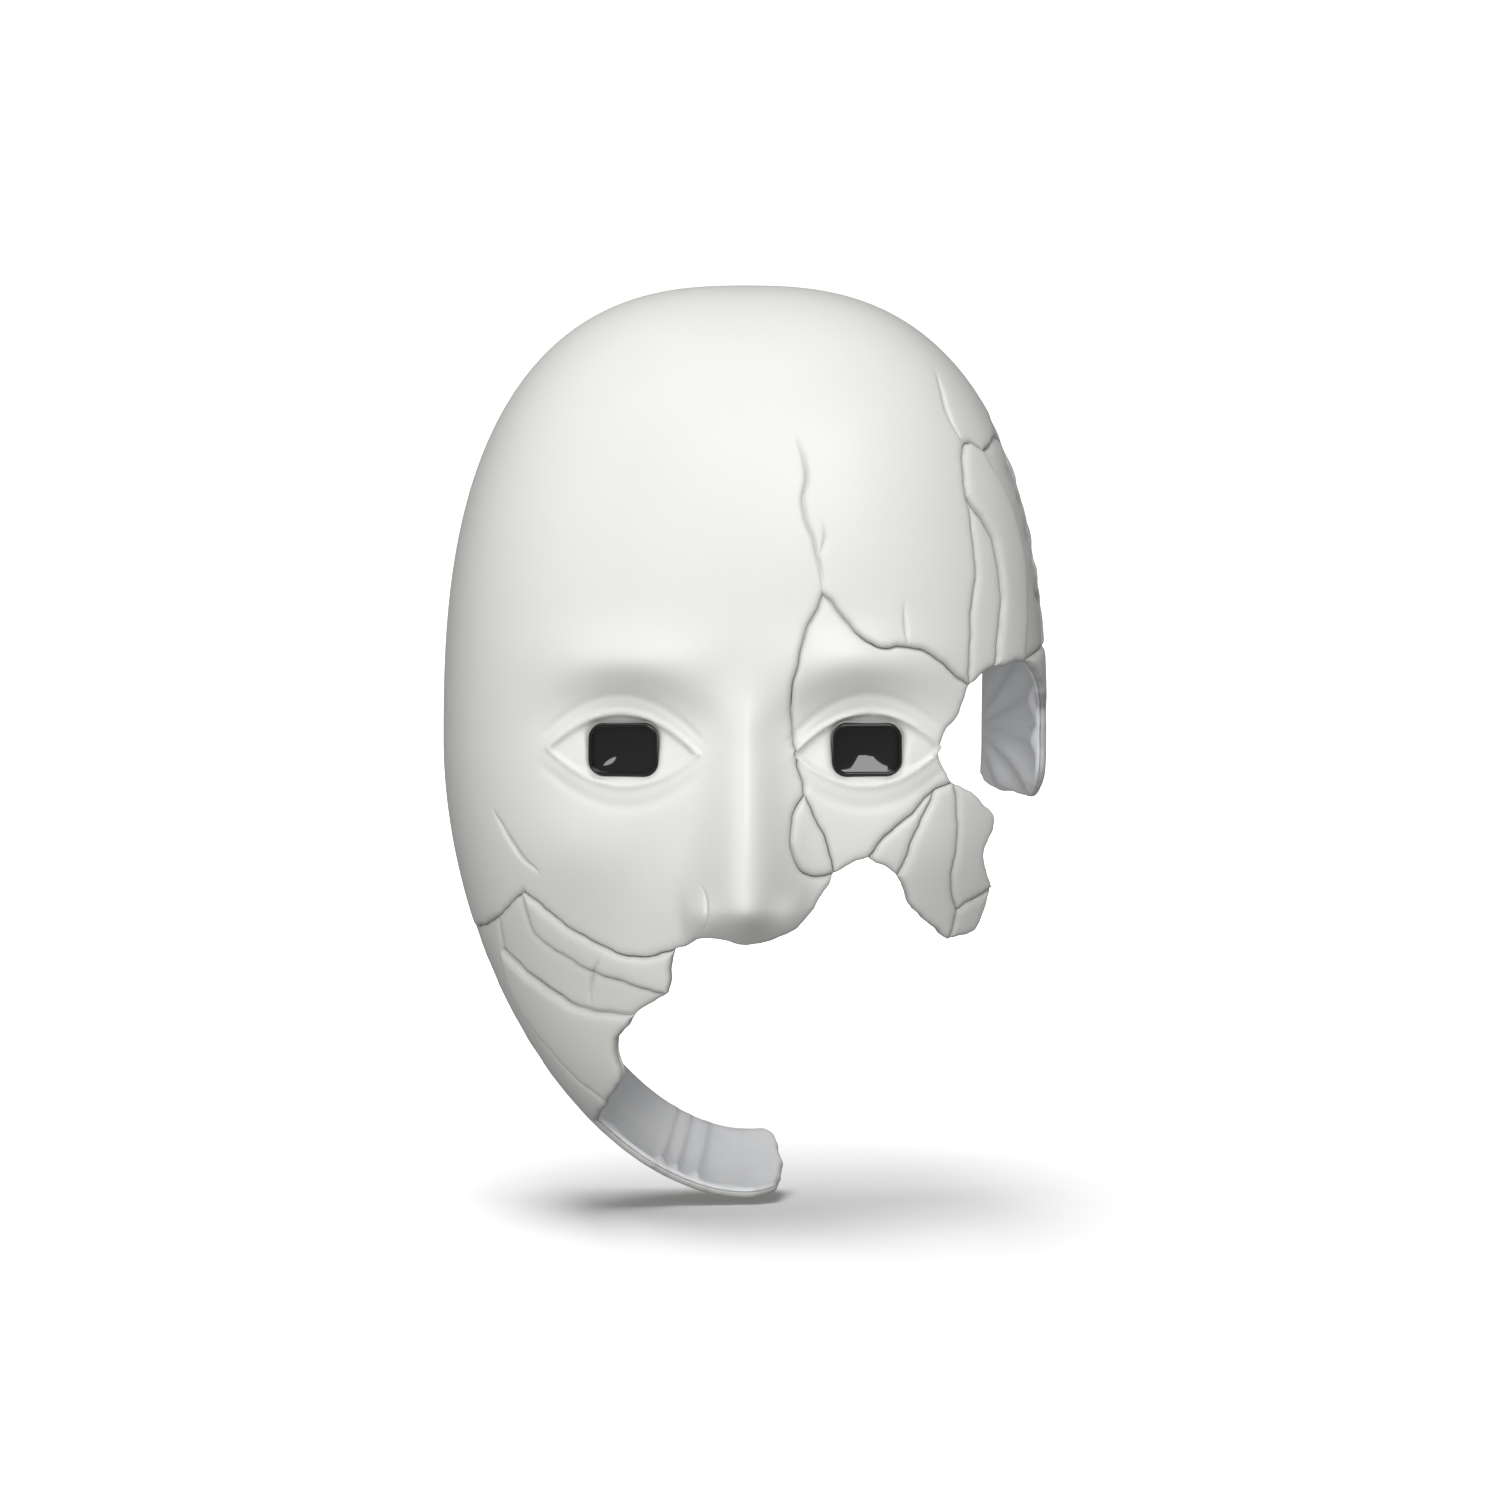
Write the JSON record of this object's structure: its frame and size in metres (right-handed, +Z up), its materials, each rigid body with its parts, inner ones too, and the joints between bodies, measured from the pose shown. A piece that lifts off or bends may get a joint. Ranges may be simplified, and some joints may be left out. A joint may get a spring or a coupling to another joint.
{
  "type": "broken full-face theatre mask",
  "caption": "White full-face mask with a satin glaze, cracked and broken away at the mouth, chin and lower cheek, with a lined inside and strap rings.",
  "frame": {"origin": "middle of the back rim, where the mask rests against a head, at half the mask's height", "axes": "+Z up to the crown, -Y the way the face looks, +X to the viewer's right"},
  "size_m": [0.165, 0.1168, 0.25],
  "materials": {
    "white_glaze": "satin",
    "white_backing": "matte",
    "black_lining": "gloss",
    "smoked_lens": "gloss",
    "foam_pad": "matte",
    "steel": "satin",
    "ring_wire": "polished"
  },
  "bodies": {
    "mask": {"backing_shell": "white_backing", "face_shell": "white_glaze", "brow_shard": "white_glaze", "nose_chip": "white_glaze", "temple_shard_front": "white_glaze", "temple_shard_middle": "white_glaze", "temple_shard_rear": "white_glaze", "side_wall_shard": "white_glaze", "cheekbone_shard": "white_glaze", "cheek_shard_inner": "white_glaze", "cheek_shard_outer": "white_glaze", "cheek_chip": "white_glaze", "jaw_shard_upper": "white_glaze", "jaw_shard_middle": "white_glaze", "jaw_shard_lower": "white_glaze", "jaw_edge_strip": "white_glaze", "chin_band": "white_glaze", "eye_liner_left": "black_lining", "eye_liner_right": "black_lining", "eye_lens_left": "smoked_lens", "eye_lens_right": "smoked_lens", "forehead_pad": "foam_pad", "temple_pad_left": "foam_pad", "temple_pad_right": "foam_pad", "cheek_pad_left": "foam_pad", "crown_eyelet": "steel", "strap_bracket_left": "steel", "strap_bracket_right": "steel", "bracket_rivets_left": "steel", "bracket_rivets_right": "steel", "rivet_washers_left": "steel", "rivet_washers_right": "steel"},
    "ring_left": {"strap_ring_left": "ring_wire"},
    "ring_right": {"strap_ring_right": "ring_wire"}
  },
  "joints": [
    {"name": "ring_left_swing", "type": "hinge", "parent": "mask", "child": "ring_left", "pos_m": [-0.06122, -0.00399, 0.03668], "axis": [0.1212, 0, 0.9926], "range_deg": [-150, 20]},
    {"name": "ring_right_swing", "type": "hinge", "parent": "mask", "child": "ring_right", "pos_m": [0.06122, -0.00399, 0.03668], "axis": [-0.1212, 0, 0.9926], "range_deg": [-20, 150]}
  ]
}
